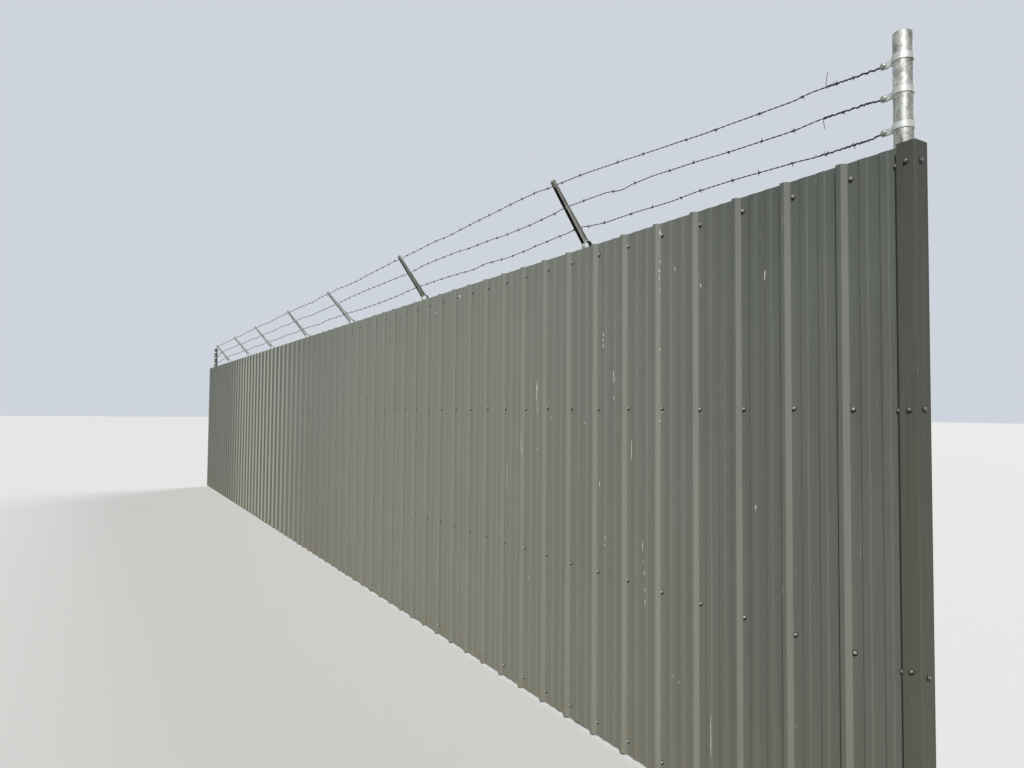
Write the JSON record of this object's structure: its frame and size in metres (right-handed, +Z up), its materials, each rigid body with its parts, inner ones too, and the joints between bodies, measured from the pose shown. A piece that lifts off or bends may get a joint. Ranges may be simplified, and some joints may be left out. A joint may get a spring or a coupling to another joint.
{
  "type": "sheet metal privacy fence",
  "caption": "Long straight fence of upright ribbed steel sheets on timber girts and pipe posts, with barbed wire on arms that lean out over the front.",
  "frame": {"origin": "centre of the near end post's foot, at ground level", "axes": "-X along the fence from the near end to the far end, -Y out of the ribbed front, +Z up"},
  "size_m": [14.687, 0.2951, 2.851],
  "materials": {
    "painted_sheet": "factory-painted dark grey-green steel, semi-gloss, with bird droppings and scratches",
    "galvanised_steel": "hot-dip galvanised, mottled light grey, weathered",
    "barbed_wire": "weathered galvanised wire, dull grey",
    "timber": "rough weathered softwood boards"
  },
  "bodies": {
    "root": {"sheet_01": "painted_sheet", "sheet_02": "painted_sheet", "sheet_03": "painted_sheet", "sheet_04": "painted_sheet", "sheet_05": "painted_sheet", "sheet_06": "painted_sheet", "sheet_07": "painted_sheet", "sheet_08": "painted_sheet", "sheet_09": "painted_sheet", "sheet_10": "painted_sheet", "sheet_11": "painted_sheet", "sheet_12": "painted_sheet", "sheet_13": "painted_sheet", "sheet_14": "painted_sheet", "sheet_15": "painted_sheet", "sheet_16": "painted_sheet", "sheet_17": "painted_sheet", "corner_trim": "painted_sheet", "near_post": "galvanised_steel", "line_post_1": "galvanised_steel", "line_post_2": "galvanised_steel", "line_post_3": "galvanised_steel", "line_post_4": "galvanised_steel", "line_post_5": "galvanised_steel", "line_post_6": "galvanised_steel", "line_post_7": "galvanised_steel", "far_post": "galvanised_steel", "barb_arm_1": "galvanised_steel", "barb_arm_2": "galvanised_steel", "barb_arm_3": "galvanised_steel", "barb_arm_4": "galvanised_steel", "barb_arm_5": "galvanised_steel", "barb_arm_6": "galvanised_steel", "barb_arm_7": "galvanised_steel", "girt_top": "timber", "girt_upper": "timber", "girt_lower": "timber", "girt_bottom": "timber", "girt_straps_top": "galvanised_steel", "girt_straps_upper": "galvanised_steel", "girt_straps_lower": "galvanised_steel", "girt_straps_bottom": "galvanised_steel", "near_bands": "galvanised_steel", "far_bands": "galvanised_steel", "bottom_strand": "barbed_wire", "middle_strand": "barbed_wire", "top_strand": "barbed_wire"}
  },
  "joints": []
}
